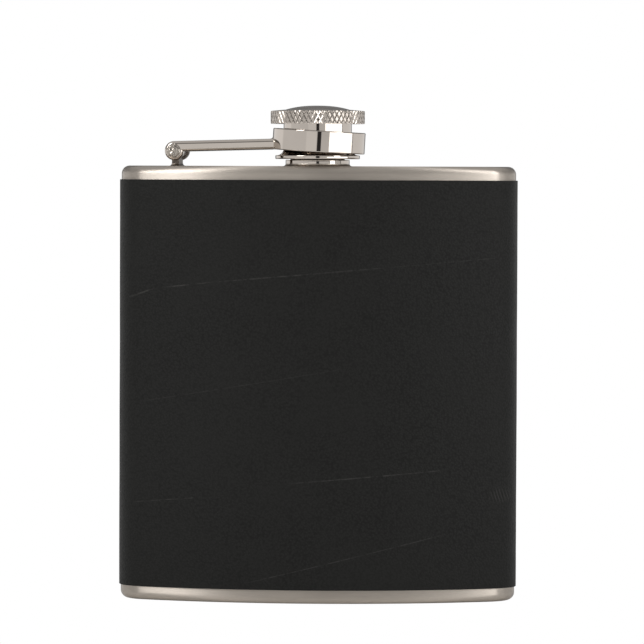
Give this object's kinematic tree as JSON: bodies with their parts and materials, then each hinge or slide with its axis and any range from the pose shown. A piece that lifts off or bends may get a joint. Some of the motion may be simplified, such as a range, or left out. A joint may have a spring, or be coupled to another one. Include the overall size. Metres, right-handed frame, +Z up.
{
  "type": "hip flask",
  "caption": "Curved steel hip flask in a black leatherette wrap, with a knurled screw cap held captive in a ring on a hinged arm.",
  "frame": {"origin": "middle of the flat base, at the centre of the flask's outline", "axes": "+Z up towards the cap, +X along the width away from the cap's hinge, -Y out of the convex front, +Y out of the hollow back"},
  "size_m": [0.0956, 0.0272, 0.1185],
  "materials": {
    "satin_steel": "satin, brushed along the rim",
    "polished_steel": "polished stainless steel",
    "knurled_steel": "diamond knurled, bright",
    "pin_steel": "peened ends, dull",
    "braze": "brazed fillet, satin",
    "leatherette": "black leatherette with a fine grain, low sheen",
    "liner_plastic": "moulded off-white plastic",
    "seal_rubber": "soft translucent white silicone"
  },
  "bodies": {
    "flask": {"body_shell": "satin_steel", "top_plate": "satin_steel", "bottom_plate": "satin_steel", "leather_wrap": "leatherette", "neck": "polished_steel", "neck_weld": "braze", "hinge_post": "polished_steel", "post_weld": "braze"},
    "arm": {"hinge_arm": "polished_steel", "captive_ring": "polished_steel", "ring_weld": "braze", "hinge_pin": "pin_steel"},
    "cap": {"cap_thimble": "polished_steel", "knurled_collar": "knurled_steel", "thread_liner": "liner_plastic", "cap_gasket": "seal_rubber"}
  },
  "joints": [
    {"name": "arm_swing", "type": "hinge", "parent": "flask", "child": "arm", "pos_m": [-0.0339, 0.00257, 0.1076], "axis": [-0.1395, -0.9902, 0], "range_deg": [0, 180]},
    {"name": "cap_turn", "type": "hinge", "parent": "arm", "child": "cap", "pos_m": [0, -0.00221, 0.112], "axis": [0, 0, 1], "continuous": true}
  ]
}
